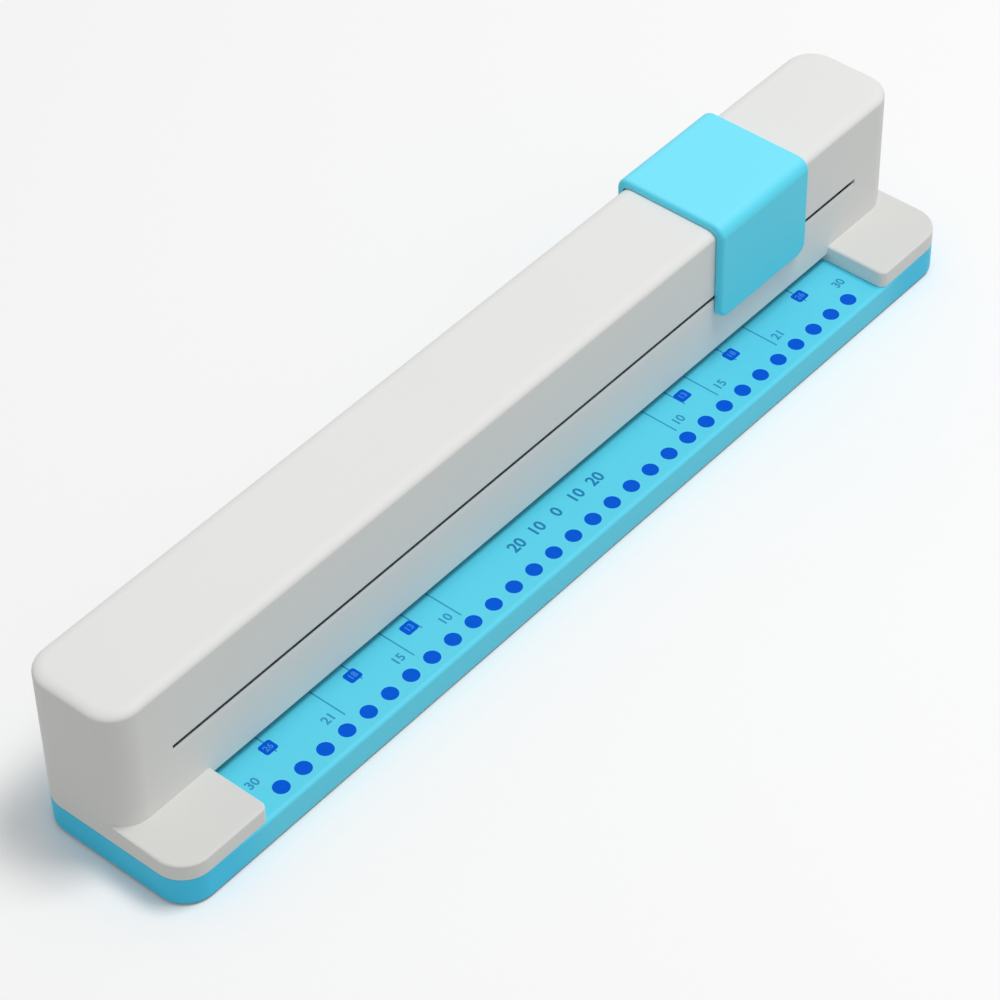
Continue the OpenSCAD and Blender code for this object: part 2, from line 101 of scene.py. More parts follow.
# Slots and the slider
SLOT_Z = LEDGE_Z + 26.1 * MM
SLOT_H = 1.8 * MM
SLOT_X = 162.25 * MM
SLOT_EDGE_R = 0.2 * MM
SLOT_LIP = 0.4 * MM
SLOT_UNDERCUT = 3 * MM
SLOPE_H = 3.2 * MM
SLOPE_DEEP = 0.3 * MM
SLOPE_RAISE = 1.4 * SLOPE_DEEP  # takes the slope's outer edges clear of the wall
SLOPE_FADE = 8 * MM
HANDLE_GAP = 0.3 * MM
HANDLE_EDGE_R = 4.6 * MM
HANDLE_CORNER_R = 4.5 * MM
HANDLE_RIM_R = 1.4 * MM
TONGUE_L = 24 * MM
TONGUE_T = 1.2 * MM
TONGUE_IN = 14.7 * MM
TONGUE_OUT = HANDLE_HIGH.y - ROW_Y - 1 * MM

# Screws, feet and door
SCREW_R = 1.45 * MM
SCREW_HEAD_R = 2.7 * MM
SCREW_HEAD_H = 1.8 * MM
SCREW_HEAD_EDGE_R = 0.5 * MM
RECESS_ARM = 1.6 * MM
RECESS_W = 0.6 * MM
RECESS_DEEP = 0.9 * MM
SCREW_CLEAR = 0.15 * MM
SCREW_SEAT_R = 3.2 * MM
SCREW_BOSS_R = 3.55 * MM
SEAT_BOSS_R = 4.4 * MM
SCREW_X = SCREWS_HIGH.x - SCREW_HEAD_R
END_SCREW_DY = 8 * MM
EAR_SCREW_Y = SCREWS_LOW.y + SCREW_HEAD_R
EAR_SCREW_TIP_Z = LEDGE_Z + 3.6 * MM
SEAT_Z = SCREWS_LOW.z + SCREW_HEAD_H
END_BOSS_TOP_Z = LEDGE_Z + 13 * MM
END_BORE_TOP_Z = LEDGE_Z + 11 * MM
EAR_BORE_TOP_Z = LEDGE_Z + 4 * MM
BOSS_RIB_HALF = 1.2 * MM
CHANNEL_SCREW_X = (EAR_X + CHANNEL_HIGH.x) / 2
CHANNEL_SCREW_DY = 5.5 * MM
CHANNEL_BOSS_Z = BASE_LOW.z + 1.4 * MM
CHANNEL_BORE_Z = BASE_LOW.z + 2.4 * MM
FOOT_R = 6 * MM
FOOT_EDGE_R = 0.35 * MM
FOOT_RIM = 1.8 * MM
FOOT_CUP_DEEP = 0.4 * MM
FOOT_BOSS_R = 7.5 * MM
FOOT_X = FEET_HIGH.x - FOOT_R
FOOT_YS = (FEET_LOW.y + FOOT_R, FEET_HIGH.y - FOOT_R)
CHAMBER_X = EAR_X + 3 * MM
CHAMBER_RIB = 2 * MM
CHIP_SLOT_HALF = 6.5 * MM
CHIP_SLOT_PAST = 4.75 * MM
DOOR_T = 1.8 * MM
DOOR_UP = 0.1 * MM
DOOR_EDGE_R = 0.4 * MM
DOOR_BORE_L = 4.5 * MM
DOOR_BORE_CLEAR = 0.05 * MM
GRIP_HALF_L = 12 * MM
GRIP_W = 5 * MM
GRIP_DEEP = 0.8 * MM
GRIP_CORNER_R = 2 * MM
BARREL_R = 1.6 * MM
HINGE_Y = (HINGE_LOW.y + HINGE_HIGH.y) / 2
HINGE_Z = (HINGE_LOW.z + HINGE_HIGH.z) / 2
HINGE_R = (HINGE_HIGH.z - HINGE_LOW.z) / 2

# Return springs
SPRING_WIRE_R = 0.35 * MM
SPRING_R = (SPRINGS_HIGH.y - SPRINGS_LOW.y) / 2 - SPRING_WIRE_R
SPRING_HALF_TURNS = 9
HALF_TURN_STEPS = 8
WIRE_SIDES = 8

# Print on the ledge, measured from the row of dots
DOT_Y = FRONT_Y + 5.9 * MM
DOT_R = 2.75 * MM
INK_UP = 0.03 * MM
INK_DOWN = 0.1 * MM
INK_EDGE_R = 0.015 * MM
TICK_W = 0.5 * MM
TICK_END_R = 0.2 * MM
LONG_TICKS = (105 * MM, 74 * MM, 52.5 * MM)
LONG_TICK_Y = (DOT_Y + 4.6 * MM, BEAM_Y + 2 * MM)
SHORT_TICKS = (128.5 * MM, 91 * MM, 64 * MM)
BADGE_XS = (129 * MM, 92 * MM, 66.5 * MM)
SHORT_TICK_Y = (DOT_Y + 10.3 * MM, BEAM_Y + 2 * MM)
BADGE_Y = DOT_Y + 13.4 * MM
BADGE_L = 5 * MM
BADGE_W = 4.5 * MM
BADGE_R = 0.9 * MM
LABEL_Y = DOT_Y + 5.9 * MM
LABEL_H = 3.1 * MM
LABEL_OUT = 4.3 * MM
END_LABEL_X = 142.2 * MM
BADGE_LABEL_H = 2.2 * MM
SCALE_Y = DOT_Y + 8.9 * MM
SCALE_H = 4.1 * MM
SCALE_STEP = 9.5 * MM
BOLD = 0.034  # how much strokes are thickened, as a share of the height
FIGURE_SHARE = 0.69  # height of a figure as a share of the text size

# Camera fitted to the photograph's dots and edges
PHOTO_AZIMUTH = math.radians(-48.73)
PHOTO_ELEVATION = math.radians(44.35)
PHOTO_ROLL = math.radians(-1.41)
PHOTO_LENS = 131.69
PHOTO_PLACE = Vector((-620.8, -536.5, 809.3)) * MM

# Light
FLOOR_SEEN = "#FFFFFF"
FLOOR_BOUNCE = "#C0C1BE"
SKY_LIGHT = 0.5
SKY_SEEN = 0.98
KEY_PLACE = (0.5, -0.5, 2.2)
KEY_SIZE = 0.8
KEY_POWER = 25.5
FLOOR_SIZE = 12


# Modelling helpers
def select_only(piece):
    """Leave this piece alone selected and active."""
    bpy.ops.object.select_all(action="DESELECT")
    piece.select_set(True)
    bpy.context.view_layer.objects.active = piece


def settle(name):
    """Name the new primitive and put its place into its mesh."""
    piece = bpy.context.active_object
    piece.name = name
    piece.data.name = name
    select_only(piece)
    bpy.ops.object.transform_apply(location=True, rotation=True, scale=True)
    return piece


def block(name, low, high):
    """A box between two corners, as a start."""
    low, high = Vector(low), Vector(high)
    bpy.ops.mesh.primitive_cube_add(size=1, location=(low + high) / 2)
    bpy.context.active_object.scale = high - low
    return settle(name)


def crowned_block(name, low, high, reach, drop, corner_r, chosen):
    """A block whose chosen top edges are rounded further in than down."""
    low, high = Vector(low), Vector(high)
    tall_low = Vector((low.x, low.y, high.z - (high.z - low.z) * reach / drop))
    piece = block(name, tall_low, high)
    if corner_r:
        round_edges(piece, corner_r, CORNER_STEPS, upright)
    round_edges(piece, reach, INSIDE_STEPS, chosen)
    bpy.ops.object.mode_set(mode="EDIT")
    bpy.ops.mesh.select_all(action="SELECT")
    bpy.ops.transform.resize(value=(1, 1, drop / reach), center_override=(0, 0, high.z))
    bpy.ops.object.mode_set(mode="OBJECT")
    return piece


def post(name, radius, x, y, z0, z1, sides=48):
    """An upright cylinder, as a start."""
    bpy.ops.mesh.primitive_cylinder_add(vertices=sides, radius=radius, depth=z1 - z0,
                                        location=(x, y, (z0 + z1) / 2))
    return settle(name)


def bar(name, radius, x0, x1, y, z, sides=32):
    """A cylinder along X, as a start."""
    bpy.ops.mesh.primitive_cylinder_add(vertices=sides, radius=radius, depth=x1 - x0,
                                        location=((x0 + x1) / 2, y, z), rotation=(0, math.pi / 2, 0))
    return settle(name)


def near(a, b):
    """Whether two places on one axis are the same."""
    return abs(a - b) < SAME_PLACE


def pick_edges(piece, chosen):
    """Open a piece in edit mode with the chosen edges selected."""
    select_only(piece)
    bpy.ops.object.mode_set(mode="EDIT")
    bpy.ops.mesh.select_mode(type="EDGE")
    bpy.ops.mesh.select_all(action="DESELECT")
    mesh = bmesh.from_edit_mesh(piece.data)
    for edge in mesh.edges:
        a, b = (vertex.co for vertex in edge.verts)
        edge.select_set(bool(chosen(a, b)))
    bmesh.update_edit_mesh(piece.data)


def round_edges(piece, radius, segments, chosen):
    """Round the chosen edges of a piece."""
    pick_edges(piece, chosen)
    bpy.ops.mesh.bevel(offset=radius, offset_type="OFFSET", segments=segments, profile=0.5,
                       affect="EDGES")
    bpy.ops.object.mode_set(mode="OBJECT")


def round_sharp(piece, radius, segments, degrees=50):
    """Round every edge of a piece that is still sharp."""
    select_only(piece)
    bpy.ops.object.mode_set(mode="EDIT")
    bpy.ops.mesh.select_mode(type="EDGE")
    bpy.ops.mesh.select_all(action="DESELECT")
    bpy.ops.mesh.edges_select_sharp(sharpness=math.radians(degrees))
    bpy.ops.mesh.bevel(offset=radius, offset_type="OFFSET", segments=segments, profile=0.5,
                       affect="EDGES")
    bpy.ops.object.mode_set(mode="OBJECT")


def split_at_x(piece, x):
    """Cut an edge loop into a piece at one place along the beam."""
    select_only(piece)
    bpy.ops.object.mode_set(mode="EDIT")
    bpy.ops.mesh.select_all(action="SELECT")
    bpy.ops.mesh.bisect(plane_co=(x, 0, 0), plane_no=(1, 0, 0))
    bpy.ops.object.mode_set(mode="OBJECT")


def combine(piece, other, operation):
    """Join another solid to a piece or cut it out, and remove the other."""
    modifier = piece.modifiers.new("combine", "BOOLEAN")
    modifier.operation = operation
    modifier.object = other
    modifier.solver = "EXACT"
    select_only(piece)
    bpy.ops.object.modifier_apply(modifier=modifier.name)
    bpy.data.objects.remove(other)


def carve(piece, *cutters):
    """Cut solids out of a piece."""
    for cutter in cutters:
        combine(piece, cutter, "DIFFERENCE")


def weld(piece, *others):
    """Join solids to a piece."""
    for other in others:
        combine(piece, other, "UNION")


def tidy_mesh(piece):
    """Merge doubles and dissolve the edges that a cut leaves on flat faces."""
    select_only(piece)
    bpy.ops.object.mode_set(mode="EDIT")
    bpy.ops.mesh.select_all(action="SELECT")
    bpy.ops.mesh.remove_doubles(threshold=DOUBLE_GAP)
    bpy.ops.mesh.dissolve_limited(angle_limit=math.radians(FLAT_DEGREES))
    bpy.ops.object.mode_set(mode="OBJECT")


def smooth(piece, degrees=35):
    """Shade a piece smooth up to an angle, with the large faces kept flat."""
    select_only(piece)
    bpy.ops.object.shade_smooth_by_angle(angle=math.radians(degrees))
    modifier = piece.modifiers.new("flat_faces", "WEIGHTED_NORMAL")
    modifier.keep_sharp = True
    bpy.ops.object.modifier_apply(modifier=modifier.name)


def group_as(name, pieces):
    """Join several objects into one piece."""
    bpy.ops.object.select_all(action="DESELECT")
    for piece in pieces:
        piece.select_set(True)
    bpy.context.view_layer.objects.active = pieces[0]
    if len(pieces) > 1:
        bpy.ops.object.join()
    pieces[0].name = name
    pieces[0].data.name = name
    return pieces[0]


def copy_to(piece, name, x, y):
    """A copy of a piece with its own mesh, moved over the ground."""
    mesh = piece.data.copy()
    mesh.transform(Matrix.Translation((x, y, 0)))
    copied = bpy.data.objects.new(name, mesh)
    bpy.context.collection.objects.link(copied)
    return copied


def copies_as(name, piece, places):
    """One piece made of copies of a shape at the given places; the shape itself goes."""
    copied = [copy_to(piece, name, x, y) for x, y in places]
    bpy.data.objects.remove(piece)
    return group_as(name, copied)


def both_sides(*xs):
    """Moves to equal distances on both sides of the middle."""
    return [(side * x, 0) for side in (-1, 1) for x in xs]


def upright(a, b):
    """Whether an edge stands upright."""
    return near(a.x, b.x) and near(a.y, b.y)


def along_x(a, b):
    """Whether an edge runs along the beam."""
    return near(a.y, b.y) and near(a.z, b.z)


def along_y(a, b):
    """Whether an edge runs from front to back."""
    return near(a.x, b.x) and near(a.z, b.z)


def at_height(z):
    """A test for edges that lie at one height."""
    return lambda a, b: near(a.z, z) and near(b.z, z)


def at_depth(y):
    """A test for edges that lie in one upright plane along the beam."""
    return lambda a, b: near(a.y, y) and near(b.y, y)


def dress(piece, material, body, slot, *replaced):
    """Give a finished piece its material, its body and the nodes that it stands for."""
    piece.data.materials.clear()
    piece.data.materials.append(material)
    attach(piece, body)
    if replaced:
        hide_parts(*replaced)


# Materials
def tint(text):
    """A colour written as on screen, as the shader takes it."""
    parts = [int(text[i:i + 2], 16) / 255 for i in (1, 3, 5)]
    linear = [c / 12.92 if c <= 0.04045 else ((c + 0.055) / 1.055) ** 2.4 for c in parts]
    return (*linear, 1)


def group_tree(name, inputs, outputs):
    """A new shader group with named sockets."""
    tree = bpy.data.node_groups.new(name, "ShaderNodeTree")
    for socket, kind, value in inputs:
        made = tree.interface.new_socket(socket, in_out="INPUT", socket_type=kind)
        made.default_value = value
    for socket, kind in outputs:
        tree.interface.new_socket(socket, in_out="OUTPUT", socket_type=kind)
    return tree, tree.nodes.new("NodeGroupInput"), tree.nodes.new("NodeGroupOutput")


def moulded_grain():
    """Moulded plastic: a faint cloud in the colour, uneven gloss and a fine eroded grain."""
    tree, given, result = group_tree(
        "moulded_grain",
        [("Color", "NodeSocketColor", (1, 1, 1, 1)), ("Cloud Color", "NodeSocketColor", (1, 1, 1, 1)),
         ("Low Gloss", "NodeSocketFloat", 0.5), ("High Gloss", "NodeSocketFloat", 0.4)],
        [("Color", "NodeSocketColor"), ("Roughness", "NodeSocketFloat"), ("Height", "NodeSocketFloat")])
    nodes, links = tree.nodes, tree.links
    place = nodes.new("ShaderNodeTexCoord")
    cloud = nodes.new("ShaderNodeTexNoise")
    cloud.inputs["Scale"].default_value = 14
    cloud.inputs["Detail"].default_value = 3
    fine = nodes.new("ShaderNodeTexNoise")
    fine.inputs["Scale"].default_value = 2600
    fine.inputs["Detail"].default_value = 2
    mix = nodes.new("ShaderNodeMix")
    mix.data_type = "RGBA"
    gloss = nodes.new("ShaderNodeMapRange")
    links.new(place.outputs["Object"], cloud.inputs["Vector"])
    links.new(place.outputs["Object"], fine.inputs["Vector"])
    links.new(cloud.outputs["Fac"], mix.inputs["Factor"])
    links.new(given.outputs["Color"], mix.inputs["A"])
    links.new(given.outputs["Cloud Color"], mix.inputs["B"])
    links.new(fine.outputs["Fac"], gloss.inputs["Value"])
    links.new(given.outputs["Low Gloss"], gloss.inputs["To Min"])
    links.new(given.outputs["High Gloss"], gloss.inputs["To Max"])
    links.new(mix.outputs["Result"], result.inputs["Color"])
    links.new(gloss.outputs["Result"], result.inputs["Roughness"])
    links.new(fine.outputs["Fac"], result.inputs["Height"])
    return tree


def drawn_streaks():
    """Rolled or turned steel: streaks along one axis in the colour, the gloss and the height."""
    tree, given, result = group_tree(
        "drawn_streaks",
        [("Color", "NodeSocketColor", (1, 1, 1, 1)), ("Streak Color", "NodeSocketColor", (1, 1, 1, 1)),
         ("Stretch", "NodeSocketVector", (30, 900, 900)),
         ("Low Gloss", "NodeSocketFloat", 0.45), ("High Gloss", "NodeSocketFloat", 0.25)],
        [("Color", "NodeSocketColor"), ("Roughness", "NodeSocketFloat"), ("Height", "NodeSocketFloat")])
    nodes, links = tree.nodes, tree.links
    place = nodes.new("ShaderNodeTexCoord")
    stretch = nodes.new("ShaderNodeVectorMath")
    stretch.operation = "MULTIPLY"
    streak = nodes.new("ShaderNodeTexNoise")
    streak.inputs["Scale"].default_value = 1
    streak.inputs["Detail"].default_value = 4
    mix = nodes.new("ShaderNodeMix")
    mix.data_type = "RGBA"
    gloss = nodes.new("ShaderNodeMapRange")
    links.new(place.outputs["Object"], stretch.inputs[0])
    links.new(given.outputs["Stretch"], stretch.inputs[1])
    links.new(stretch.outputs["Vector"], streak.inputs["Vector"])
    links.new(streak.outputs["Fac"], mix.inputs["Factor"])
    links.new(given.outputs["Color"], mix.inputs["A"])
    links.new(given.outputs["Streak Color"], mix.inputs["B"])
    links.new(streak.outputs["Fac"], gloss.inputs["Value"])
    links.new(given.outputs["Low Gloss"], gloss.inputs["To Min"])
    links.new(given.outputs["High Gloss"], gloss.inputs["To Max"])
    links.new(mix.outputs["Result"], result.inputs["Color"])
    links.new(gloss.outputs["Result"], result.inputs["Roughness"])
    links.new(streak.outputs["Fac"], result.inputs["Height"])
    return tree


GRAIN = moulded_grain()
GRAIN_DEEP = 0.03 * MM
STREAKS = drawn_streaks()
STREAK_BUMP = 0.08
STREAK_DEEP = 0.02 * MM
SIDE_FACING = 0.6  # upward part of the normal where a shade for tops begins
TOP_FACING = 0.98


def grouped_material(name, tree, values, bump, plain):
    """A material with colour, gloss and bump from a group; plain values go to the shader's sockets."""
    material = bpy.data.materials.new(name)
    material.use_nodes = True
    nodes, links = material.node_tree.nodes, material.node_tree.links
    shader = nodes["Principled BSDF"]
    for socket, value in plain.items():
        shader.inputs[socket].default_value = value
    group = nodes.new("ShaderNodeGroup")
    group.node_tree = tree
    for socket, value in values.items():
        group.inputs[socket].default_value = value
    relief = nodes.new("ShaderNodeBump")
    relief.inputs["Strength"].default_value = bump[0]
    relief.inputs["Distance"].default_value = bump[1]
    links.new(group.outputs["Color"], shader.inputs["Base Color"])
    links.new(group.outputs["Roughness"], shader.inputs["Roughness"])
    links.new(group.outputs["Height"], relief.inputs["Height"])
    links.new(relief.outputs["Normal"], shader.inputs["Normal"])
    material.diffuse_color = values["Color"]
    return material


def plastic(name, colour, cloud, low_gloss, high_gloss, bump=0.12, shine=0.5):
    """Moulded plastic, rubber or ink of one colour."""
    values = {"Color": tint(colour), "Cloud Color": tint(cloud),
              "Low Gloss": low_gloss, "High Gloss": high_gloss}
    return grouped_material(name, GRAIN, values, (bump, GRAIN_DEEP), {"Specular IOR Level": shine})


def paint_light_and_shade_along(material, axis, start, end, colour, tops_only=False):
    """Paint light or shade into a plastic: blend another colour in between two places on an axis, on X
    towards both ends.
    """
    nodes, links = material.node_tree.nodes, material.node_tree.links
    base_colour = nodes["Principled BSDF"].inputs["Base Color"]
    place = nodes.new("ShaderNodeTexCoord")
    split = nodes.new("ShaderNodeSeparateXYZ")
    fade = nodes.new("ShaderNodeMapRange")
    fade.interpolation_type = "SMOOTHSTEP"
    fade.inputs["From Min"].default_value = start
    fade.inputs["From Max"].default_value = end
    mix = nodes.new("ShaderNodeMix")
    mix.data_type = "RGBA"
    mix.inputs["B"].default_value = tint(colour)
    links.new(place.outputs["Object"], split.inputs["Vector"])
    distance = split.outputs[axis]
    if axis == "X":
        both_ways = nodes.new("ShaderNodeMath")
        both_ways.operation = "ABSOLUTE"
        links.new(distance, both_ways.inputs[0])
        distance = both_ways.outputs[0]
    links.new(distance, fade.inputs["Value"])
    share = fade.outputs["Result"]
    if tops_only:
        facing = nodes.new("ShaderNodeNewGeometry")
        facing_split = nodes.new("ShaderNodeSeparateXYZ")
        upwards = nodes.new("ShaderNodeMapRange")
        upwards.inputs["From Min"].default_value = SIDE_FACING
        upwards.inputs["From Max"].default_value = TOP_FACING
        both = nodes.new("ShaderNodeMath")
        both.operation = "MULTIPLY"
        links.new(facing.outputs["Normal"], facing_split.inputs["Vector"])
        links.new(facing_split.outputs["Z"], upwards.inputs["Value"])
        links.new(share, both.inputs[0])
        links.new(upwards.outputs["Result"], both.inputs[1])
        share = both.outputs[0]
    links.new(share, mix.inputs["Factor"])
    links.new(base_colour.links[0].from_socket, mix.inputs["A"])
    links.new(mix.outputs["Result"], base_colour)


def steel(name, colour, streak, stretch, low_gloss, high_gloss):
    """Steel with streaks along its rolled or turned direction."""
    values = {"Color": tint(colour), "Streak Color": tint(streak), "Stretch": stretch,
              "Low Gloss": low_gloss, "High Gloss": high_gloss}
    return grouped_material(name, STREAKS, values, (STREAK_BUMP, STREAK_DEEP), {"Metallic": 1.0})


WHITE_PLASTIC = plastic("white_plastic", "#EBEBE9", "#E7E8E6", 0.6, 0.48, 0.12, 0.22)
CYAN_PLASTIC = plastic("cyan_plastic", "#60D8F0", "#59D3ED", 0.52, 0.42, 0.12, 0.3)
BASE_PLASTIC = plastic("base_plastic", "#60D8F0", "#59D3ED", 0.52, 0.42, 0.12, 0.3)
HANDLE_PLASTIC = plastic("handle_plastic", "#64E5FF", "#5FE2FD", 0.52, 0.42, 0.12, 0.25)
# Painted shade and light: the ears' up-facing tops are painted a shade greyer than the beam's top, and the
# handle's up-facing top is painted paler than its flanks.
# The base is painted lighter at its front edge, as bounced light, and painted deeper below the ears, as
# shade where the white ears keep light from shining through the cyan.
# painted shade on the up-facing tops of the ears
paint_light_and_shade_along(WHITE_PLASTIC, "Z", EAR_TOP_Z + 2 * MM, EAR_TOP_Z + 0.5 * MM, "#DCDCD9", True)
# painted light on the up-facing top of the handle
paint_light_and_shade_along(HANDLE_PLASTIC, "Z", HANDLE_HIGH.z - 5 * MM, HANDLE_HIGH.z - 1 * MM, "#79E8FF", True)
# painted light on the base's front face
paint_light_and_shade_along(BASE_PLASTIC, "Y", FRONT_Y + 1.2 * MM, FRONT_Y + 0.2 * MM, "#64E3FF")
# painted shade on the base's ends, below the ears
paint_light_and_shade_along(BASE_PLASTIC, "X", EAR_X - 6 * MM, EAR_X + 18 * MM, "#40D6FF")
BLUE_INK = plastic("blue_ink", "#005EDC", "#0057D4", 0.6, 0.5, 0.05, 0.05)
FINE_INK = plastic("fine_ink", "#2A8ABC", "#237EB0", 0.6, 0.5, 0.05, 0.1)
LABEL_INK = plastic("label_ink", "#3A9DCB", "#3392C0", 0.6, 0.5, 0.05, 0.1)
PALE_INK = plastic("pale_ink", "#3F92E8", "#3888E0", 0.6, 0.5, 0.05, 0.1)
NATURAL_PLASTIC = plastic("natural_plastic", "#EDE9DC", "#E6E1D2", 0.5, 0.36)
RUBBER = plastic("rubber", "#1C1C1E", "#262628", 0.9, 0.7, 0.5)
ROLLED_STEEL = steel("rolled_steel", "#B6BABF", "#A3A8AE", (30, 900, 900), 0.42, 0.26)
TURNED_STEEL = steel("turned_steel", "#A9ADB3", "#8F949B", (900, 900, 60), 0.38, 0.2)
DARK_STEEL = steel("dark_steel", "#767B82", "#666B72", (900, 900, 60), 0.4, 0.24)
STOP_STEEL = steel("stop_steel", "#82878D", "#70757B", (30, 900, 900), 0.44, 0.3)
SPRING_STEEL = steel("spring_steel", "#C2C6CA", "#AAAFB5", (500, 500, 500), 0.34, 0.2)
BLACK_STEEL = steel("black_steel", "#2B2C2F", "#222326", (600, 600, 600), 0.5, 0.35)


# Places of the screws and feet
def screw_places():
    """Where the six screws of the casing stand."""
    for side in (-1, 1):
        for y in (ROW_Y - END_SCREW_DY, ROW_Y + END_SCREW_DY, EAR_SCREW_Y):
            yield side * SCREW_X, y


def foot_places():
    """Where the four feet stand."""
    for side in (-1, 1):
        for y in FOOT_YS:
            yield side * FOOT_X, y


# Casing
def make_ear(side):
    """A low ear at a front corner, flush with the beam's end face."""
    outer, inner = side * END_X, side * EAR_X
    xs = sorted((outer, inner))
    ear = block("ear", (xs[0], FRONT_Y, LEDGE_Z), (xs[1], ROW_Y, EAR_TOP_Z))
    at_front, at_back = at_depth(FRONT_Y), at_depth(ROW_Y)
    at_top, at_seam = at_height(EAR_TOP_Z), at_height(LEDGE_Z)
    round_edges(ear, CORNER_R, CORNER_STEPS,
                lambda a, b: upright(a, b) and near(a.x, outer) and at_front(a, b))
    round_edges(ear, EAR_R, 6, lambda a, b: upright(a, b) and near(a.x, inner) and at_front(a, b))
    round_edges(ear, EAR_EDGE_R, 4, lambda a, b: at_top(a, b) and not at_back(a, b))
    round_edges(ear, SEAM_R, 2, lambda a, b: at_seam(a, b) and not at_back(a, b))
    return ear


def ear_pocket(side):
    """The hollow under an ear."""
    outer, inner = side * (END_X - WALL), side * (EAR_X + WALL)
    xs = sorted((outer, inner))
    pocket = block("ear_pocket", (xs[0], FRONT_Y + WALL, LEDGE_Z - PAST),
                   (xs[1], BEAM_Y, EAR_TOP_Z - WALL))
    round_edges(pocket, CORNER_R - WALL, INSIDE_STEPS,
                lambda a, b: upright(a, b) and near(a.x, outer) and near(a.y, FRONT_Y + WALL))
    return pocket


def slot_slope(wall_y, inwards):
    """The shallow slope of a wall just below its slot, fading out towards both ends."""
    low_z = SLOT_Z - SLOT_H / 2 - SLOPE_H
    deep_y = wall_y + inwards * SLOPE_DEEP
    ys = sorted((wall_y - inwards * PAST, deep_y))
    slope = block("slot_slope", (-SLOT_X, ys[0], low_z), (SLOT_X, ys[1], SLOT_Z))
    split_at_x(slope, SLOPE_FADE - SLOT_X)
    split_at_x(slope, SLOT_X - SLOPE_FADE)
    for raised in (lambda p: near(p.y, deep_y) and near(p.z, low_z),
                   lambda p: near(p.y, deep_y) and near(abs(p.x), SLOT_X)):
        pick_edges(slope, lambda a, b: raised(a) and raised(b))
        bpy.ops.transform.translate(value=(0, -inwards * SLOPE_RAISE, 0))
        bpy.ops.object.mode_set(mode="OBJECT")
    return slope


def make_casing():
    """The white beam and its two ears, hollow, slotted front and back."""
    casing = crowned_block("casing_shell", (-END_X, BEAM_Y, LEDGE_Z), (END_X, BACK_Y, TOP_Z),
                           EDGE_REACH, EDGE_DROP, CORNER_R, at_height(TOP_Z))
    round_edges(casing, SEAM_R, 2, at_height(LEDGE_Z))
    weld(casing, make_ear(-1), make_ear(1))
    cavity = block("cavity", (-END_X + WALL, BEAM_Y + WALL, LEDGE_Z - PAST),
                   (END_X - WALL, BACK_Y - WALL, TOP_Z - WALL))
    round_edges(cavity, CORNER_R - WALL, INSIDE_STEPS, upright)
    carve(casing, cavity, ear_pocket(-1), ear_pocket(1))
    throat = block("throat", (-EAR_X, BEAM_Y - PAST, LEDGE_Z - PAST),
                   (EAR_X, BEAM_Y + WALL + PAST, THROAT_Z))
    slot_zs = (SLOT_Z - SLOT_H / 2, SLOT_Z + SLOT_H / 2)
    slots = block("slots", (-SLOT_X, BEAM_Y - PAST, slot_zs[0]), (SLOT_X, BACK_Y + PAST, slot_zs[1]))
    # Behind a thin lip the slots open downwards, so that they look dark from above
    undercut = block("undercut", (-SLOT_X, BEAM_Y + SLOT_LIP, SLOT_Z - SLOT_UNDERCUT),
                     (SLOT_X, BACK_Y - SLOT_LIP, slot_zs[1]))
    carve(casing, throat, slots, undercut, slot_slope(BEAM_Y, 1), slot_slope(BACK_Y, -1))
    for x, y in screw_places():
        in_ear = near(y, EAR_SCREW_Y)
        boss_top = EAR_TOP_Z - WALL / 2 if in_ear else END_BOSS_TOP_Z
        bore_top = EAR_BORE_TOP_Z if in_ear else END_BORE_TOP_Z
        boss = post("boss", SCREW_BOSS_R, x, y, LEDGE_Z, boss_top)
        if not in_ear:
            xs = sorted((x, math.copysign(END_X - WALL / 2, x)))
            rib = block("rib", (xs[0], y - BOSS_RIB_HALF, LEDGE_Z), (xs[1], y + BOSS_RIB_HALF, boss_top))
            weld(boss, rib)
        weld(casing, boss)
        carve(casing, post("bore", SCREW_R + SNUG, x, y, LEDGE_Z - PAST, bore_top))
    tidy_mesh(casing)
    for y in (BEAM_Y, BACK_Y):
        on_wall = at_depth(y)
        round_edges(casing, SLOT_EDGE_R, 2,
                    lambda a, b: on_wall(a, b) and any(near(a.z, z) for z in slot_zs)
                    and any(near(b.z, z) for z in slot_zs))
    on_front, on_throat = at_depth(BEAM_Y), at_height(THROAT_Z)
    round_edges(casing, THROAT_EDGE_R, 3, lambda a, b: on_front(a, b) and on_throat(a, b))
    smooth(casing)
    dress(casing, WHITE_PLASTIC, "frame", "white_plastic", "casing")


# Base
def end_hollow(side):
    """The hollow under one end of the base, with the bosses left standing in it."""
    outer, inner = side * (END_X - SKIRT), side * (CHAMBER_X + CHAMBER_RIB)
    xs = sorted((outer, inner))
    hollow = block("end_hollow", (xs[0], FRONT_Y + SKIRT, BASE_LOW.z - PAST),
                   (xs[1], BACK_Y - SKIRT, DECK_Z))
    round_edges(hollow, CORNER_R - SKIRT, INSIDE_STEPS, lambda a, b: upright(a, b) and near(a.x, outer))
    low, high = BASE_LOW.z - 2 * PAST, DECK_Z + PAST
    for x, y in foot_places():
        if x * side > 0:
            carve(hollow, post("boss", FOOT_BOSS_R, x, y, low, high))
    for x, y in screw_places():
        if x * side > 0:
            carve(hollow, post("boss", SEAT_BOSS_R, x, y, low, high))
    for dy in (-CHANNEL_SCREW_DY, CHANNEL_SCREW_DY):
        carve(hollow, post("boss", SCREW_BOSS_R, side * CHANNEL_SCREW_X, ROW_Y + dy, CHANNEL_BOSS_Z, high))
    return hollow


